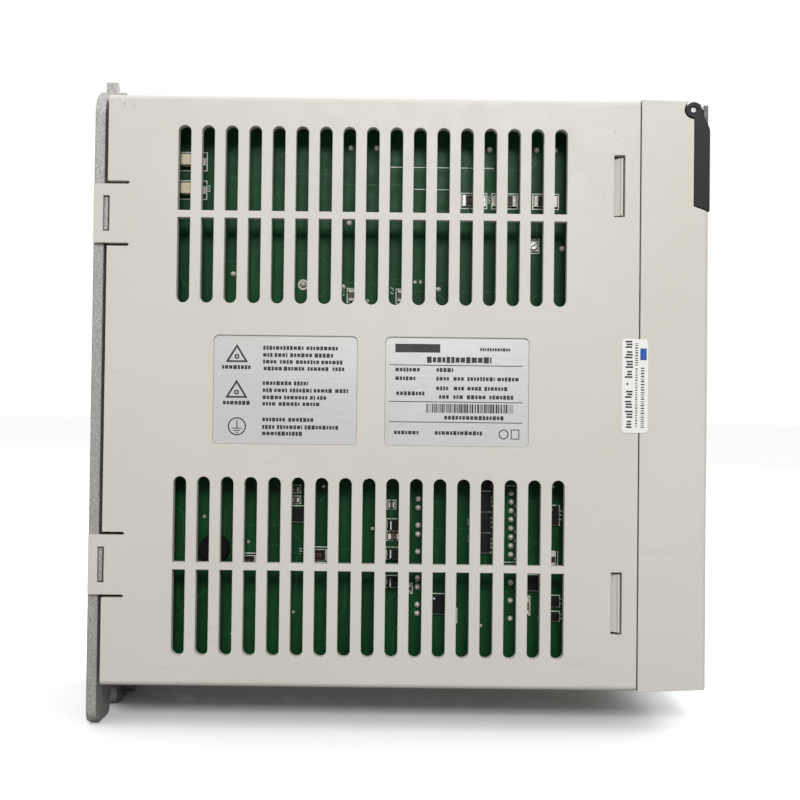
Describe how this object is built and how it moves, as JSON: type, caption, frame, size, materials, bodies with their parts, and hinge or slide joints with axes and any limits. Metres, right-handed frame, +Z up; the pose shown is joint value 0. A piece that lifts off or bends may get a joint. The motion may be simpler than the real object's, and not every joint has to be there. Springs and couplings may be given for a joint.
{
  "type": "servo drive",
  "caption": "Book-type servo drive with slotted side walls, hinged panel cover over display and keys, front connectors and terminals, and a cast back plate with mounting ears.",
  "frame": {"origin": "on the back face of the back plate, at mid width and mid height of the case", "axes": "front faces -Y, +Y points into the mounting panel, +Z up the height, X across the width"},
  "size_m": [0.0651, 0.1733, 0.1846],
  "materials": {
    "case_plastic": "fine satin grain, warm light grey",
    "cast_aluminium": "bare sand-textured casting",
    "black_plastic": "semi-matt moulded black",
    "smoked_window": "clear smoked sheet",
    "red_lens": "dark red translucent lens",
    "key_plastic": "dark grey moulded keys",
    "board_green": "green solder mask on glass laminate",
    "plated_steel": "nickel or zinc plated",
    "brass_posts": "turned brass",
    "epoxy_black": "moulded epoxy",
    "thermal_rubber": "soft heat-conducting pad",
    "capacitor_sleeve": "shrink sleeve on a can",
    "film_box": "moulded yellow box",
    "copper_winding": "enamelled copper wire",
    "ceramic_white": "fired ceramic",
    "relay_case": "moulded blue case",
    "transformer_tape": "yellow tape over ferrite",
    "led_red": "clear red lamp",
    "tantalum_tan": "tan moulded case",
    "chip_brown": "brown ceramic",
    "solder": "bright solder",
    "label_silver": "satin silver foil",
    "label_white": "white paper film"
  },
  "bodies": {
    "drive_body": {"heatsink_base": "cast_aluminium", "left_side_shell": "case_plastic", "right_side_shell": "case_plastic", "front_cover": "case_plastic", "hinge_pins": "plated_steel", "display_lens": "red_lens", "display_module": "black_plastic", "display_board": "board_green", "display_screws": "plated_steel", "key_switches": "black_plastic", "control_board": "board_green", "power_board": "board_green", "short_standoffs": "brass_posts", "long_standoffs": "brass_posts", "board_screws": "plated_steel", "power_module": "epoxy_black", "thermal_pad": "thermal_rubber", "rectifier_bridge": "epoxy_black", "module_screws": "plated_steel", "bulk_capacitor_1": "capacitor_sleeve", "bulk_capacitor_2": "capacitor_sleeve", "film_capacitor": "film_box", "line_filter_choke": "copper_winding", "line_fuse": "ceramic_white", "inrush_relay": "relay_case", "inrush_resistor": "ceramic_white", "switching_transformer": "transformer_tape", "control_processor": "epoxy_black", "optocouplers": "epoxy_black", "small_electrolytics": "capacitor_sleeve", "interboard_header": "epoxy_black", "io_connector": "plated_steel", "encoder_connector": "plated_steel", "connector_inserts": "black_plastic", "jack_screws": "plated_steel", "comm_connector": "plated_steel", "input_terminal_block": "black_plastic", "motor_terminal_block": "black_plastic", "terminal_clamps": "brass_posts", "terminal_screws": "plated_steel", "charge_led": "led_red", "earth_screws": "plated_steel", "tantalum_capacitors": "tantalum_tan", "chip_resistors": "epoxy_black", "chip_capacitors": "chip_brown", "surface_mount_chips": "epoxy_black", "round_inductor": "epoxy_black", "solder_joints": "solder", "warning_label": "label_silver", "rating_label": "label_silver", "seal_sticker": "label_white"},
    "flip_cover": {"panel_cover": "black_plastic", "panel_cover_window": "smoked_window"},
    "mode_key": {"key_mode": "key_plastic"},
    "up_key": {"key_up": "key_plastic"},
    "down_key": {"key_down": "key_plastic"},
    "shift_key": {"key_shift": "key_plastic"},
    "enter_key": {"key_enter": "key_plastic"}
  },
  "joints": [
    {"name": "panel_cover_hinge", "type": "hinge", "parent": "drive_body", "child": "flip_cover", "pos_m": [0, -0.1687, 0.0804], "axis": [-1, 0, 0], "range_deg": [0, 95]},
    {"name": "mode_key_press", "type": "slide", "parent": "drive_body", "child": "mode_key", "axis": [0, 1, 0], "range_m": [0, 0.0006], "stiffness_N_per_m": 250},
    {"name": "up_key_press", "type": "slide", "parent": "drive_body", "child": "up_key", "axis": [0, 1, 0], "range_m": [0, 0.0006], "stiffness_N_per_m": 250},
    {"name": "down_key_press", "type": "slide", "parent": "drive_body", "child": "down_key", "axis": [0, 1, 0], "range_m": [0, 0.0006], "stiffness_N_per_m": 250},
    {"name": "shift_key_press", "type": "slide", "parent": "drive_body", "child": "shift_key", "axis": [0, 1, 0], "range_m": [0, 0.0006], "stiffness_N_per_m": 250},
    {"name": "enter_key_press", "type": "slide", "parent": "drive_body", "child": "enter_key", "axis": [0, 1, 0], "range_m": [0, 0.0006], "stiffness_N_per_m": 250}
  ]
}
